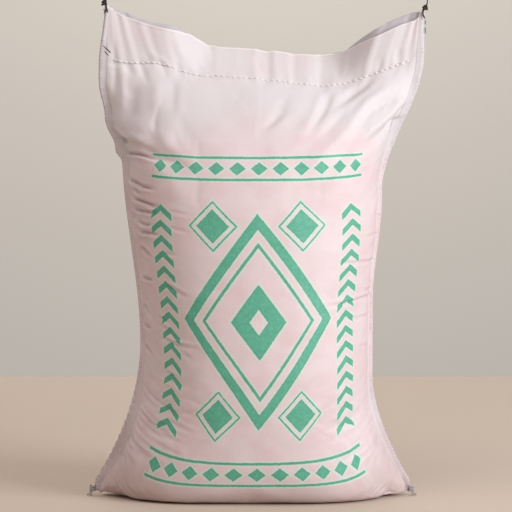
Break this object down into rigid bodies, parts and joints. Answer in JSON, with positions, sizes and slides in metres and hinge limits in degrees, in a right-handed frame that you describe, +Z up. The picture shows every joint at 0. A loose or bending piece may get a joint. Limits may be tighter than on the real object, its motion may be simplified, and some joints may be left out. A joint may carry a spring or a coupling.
{
  "type": "sack of rice",
  "caption": "Full woven sack of rice, sewn shut below its hem, standing upright on its flattened base.",
  "frame": {"origin": "middle of the part's box, on the surface that the sack stands on", "axes": "+Z up through the sack to its top hem, printed front faces -Y, +X to the right seen from the front"},
  "size_m": [0.3416, 0.1812, 0.5033],
  "materials": {
    "woven_cloth": "thin woven cloth with a soft sheen, printed in green",
    "white_thread": "matte sewing thread",
    "black_thread": "matte sewing thread",
    "grey_thread": "matte sewing thread"
  },
  "bodies": {
    "root": {"sack": "woven_cloth", "closing_stitch_front": "white_thread", "closing_stitch_back": "white_thread", "edge_thread_left": "white_thread", "edge_thread_right": "white_thread", "knot_top_left": "black_thread", "knot_top_right": "black_thread", "knot_foot_left": "grey_thread", "knot_foot_right": "grey_thread"}
  },
  "joints": []
}
